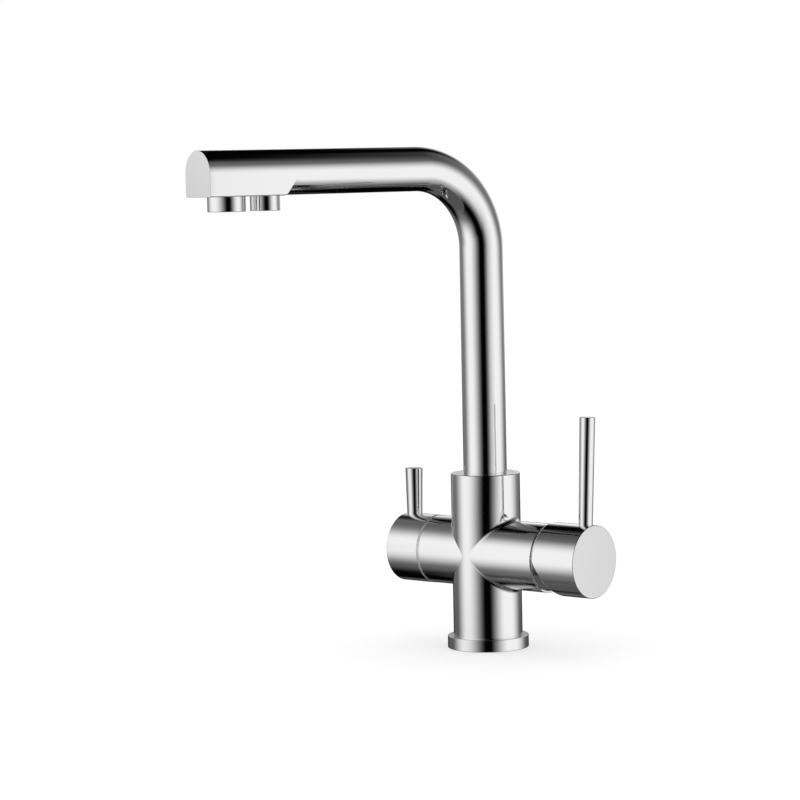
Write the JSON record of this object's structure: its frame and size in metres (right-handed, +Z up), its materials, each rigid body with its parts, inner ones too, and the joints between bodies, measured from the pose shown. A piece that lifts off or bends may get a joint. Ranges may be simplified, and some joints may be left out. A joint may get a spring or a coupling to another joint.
{
  "type": "kitchen tap",
  "caption": "Three way kitchen tap: mixer lever and filtered-water lever on cross arms, tall swivel spout with a D-section head and separate outlets for mixed and filtered water.",
  "frame": {"origin": "middle of the underside, on the axis of the column and of the fixing stud's hole", "axes": "+Z up the column; +X along the arm of the mixing valve, -X along the arm of the filtered water valve; -Y to the front, over the sink"},
  "size_m": [0.1539, 0.235, 0.3235],
  "materials": {
    "plated_brass": "polished chrome plate",
    "bare_brass": "machined",
    "stainless": "machined",
    "seal_rubber": "matt",
    "white_plastic": "moulded",
    "ceramic": "lapped ceramic"
  },
  "bodies": {
    "tap_base": {"tap_body": "plated_brass", "base_flange": "plated_brass", "base_seal": "seal_rubber", "spout_stop_screw": "stainless", "filtered_feed_nipple": "bare_brass", "mixer_cartridge_housing": "white_plastic", "mixer_port_seals": "seal_rubber", "mixer_fixed_disc": "ceramic", "mixer_retaining_nut": "bare_brass", "mixer_trim_ring": "plated_brass", "filter_valve_housing": "bare_brass", "filter_valve_seal": "seal_rubber", "filter_fixed_disc": "ceramic", "filter_trim_ring": "plated_brass"},
    "spout": {"spout_spigot": "bare_brass", "spout_bearing_rings": "white_plastic", "spout_o_rings": "seal_rubber", "spout_tube": "plated_brass", "spout_head": "plated_brass", "filtered_feed_hose": "white_plastic", "mixed_outlet_housing": "plated_brass", "mixed_outlet_insert": "white_plastic", "mixed_outlet_washer": "seal_rubber", "filtered_outlet_housing": "plated_brass", "filtered_outlet_insert": "white_plastic", "filtered_outlet_washer": "seal_rubber"},
    "mixer_rotor": {"mixer_carrier": "white_plastic", "mixer_pivot_pin": "stainless"},
    "mixer_disc": {"mixer_moving_disc": "ceramic", "mixer_disc_driver": "white_plastic"},
    "mixer_control": {"mixer_stem": "stainless", "mixer_handle": "plated_brass", "mixer_lever": "plated_brass", "mixer_grub_screw": "stainless"},
    "filter_control": {"filter_stem": "bare_brass", "filter_stem_o_ring": "seal_rubber", "filter_moving_disc": "ceramic", "filter_handle": "plated_brass", "filter_lever": "plated_brass", "filter_grub_screw": "stainless"}
  },
  "joints": [
    {"name": "spout_swivel", "type": "hinge", "parent": "tap_base", "child": "spout", "pos_m": [0, 0, 0.1], "axis": [0, 0, 1], "range_deg": [-60.7, 89.3]},
    {"name": "mixer_temperature", "type": "hinge", "parent": "tap_base", "child": "mixer_rotor", "pos_m": [0.044, 0, 0.061], "axis": [1, 0, 0], "range_deg": [-45, 45]},
    {"name": "mixer_flow", "type": "hinge", "parent": "mixer_rotor", "child": "mixer_control", "pos_m": [0.044, 0, 0.061], "axis": [0, 1, 0], "range_deg": [0, 25]},
    {"name": "mixer_disc_slide", "type": "slide", "parent": "mixer_rotor", "child": "mixer_disc", "axis": [0, 0, 1], "range_m": [0, 0.0037]},
    {"name": "filter_turn", "type": "hinge", "parent": "tap_base", "child": "filter_control", "pos_m": [-0.055, 0, 0.061], "axis": [1, 0, 0], "range_deg": [0, 90]}
  ],
  "couplings": [
    {"joint": "mixer_disc_slide", "follows": "mixer_flow", "m_per_rad": 0.00833}
  ]
}
